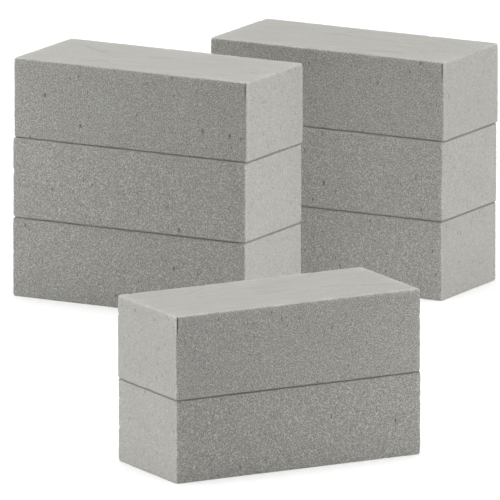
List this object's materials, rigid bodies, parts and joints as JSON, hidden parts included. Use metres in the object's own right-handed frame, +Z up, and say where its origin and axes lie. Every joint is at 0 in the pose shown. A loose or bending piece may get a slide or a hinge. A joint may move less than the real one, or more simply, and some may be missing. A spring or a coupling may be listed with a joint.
{
  "type": "floral foam brick set",
  "caption": "Dry floral foam bricks in loose stacks: plain grey blocks with softly broken edges, each of which lifts off or slides clear by itself.",
  "frame": {"origin": "middle of the set's base, on the surface that the bricks stand on, halfway between the outermost points of all the bricks in plan", "axes": "+Z up; +Y from the front stack towards the two rear stacks; +X to the right, from the left rear stack to the right one, seen from the front"},
  "size_m": [0.4192, 0.908, 0.2101],
  "materials": {
    "foam": "matte"
  },
  "bodies": {
    "front_bottom": {"front_bottom_brick": "foam"},
    "front_top": {"front_top_brick": "foam"},
    "rear_left_bottom": {"rear_left_bottom_brick": "foam"},
    "rear_left_middle": {"rear_left_middle_brick": "foam"},
    "rear_left_top": {"rear_left_top_brick": "foam"},
    "rear_right_bottom": {"rear_right_bottom_brick": "foam"},
    "rear_right_middle": {"rear_right_middle_brick": "foam"},
    "rear_right_top": {"rear_right_top_brick": "foam"}
  },
  "joints": [
    {"name": "front_top_lift", "type": "slide", "parent": "front_bottom", "child": "front_top", "axis": [0, 0, 1], "range_m": [0, 0.12]},
    {"name": "rear_left_stack_slide", "type": "slide", "parent": "front_bottom", "child": "rear_left_bottom", "axis": [-1, 0, 0], "range_m": [0, 0.15]},
    {"name": "rear_left_middle_lift", "type": "slide", "parent": "rear_left_bottom", "child": "rear_left_middle", "axis": [0, 0, 1], "range_m": [0, 0.12]},
    {"name": "rear_left_top_lift", "type": "slide", "parent": "rear_left_middle", "child": "rear_left_top", "axis": [0, 0, 1], "range_m": [0, 0.12]},
    {"name": "rear_right_stack_slide", "type": "slide", "parent": "front_bottom", "child": "rear_right_bottom", "axis": [1, 0, 0], "range_m": [0, 0.15]},
    {"name": "rear_right_middle_lift", "type": "slide", "parent": "rear_right_bottom", "child": "rear_right_middle", "axis": [0, 0, 1], "range_m": [0, 0.12]},
    {"name": "rear_right_top_lift", "type": "slide", "parent": "rear_right_middle", "child": "rear_right_top", "axis": [0, 0, 1], "range_m": [0, 0.12]}
  ]
}
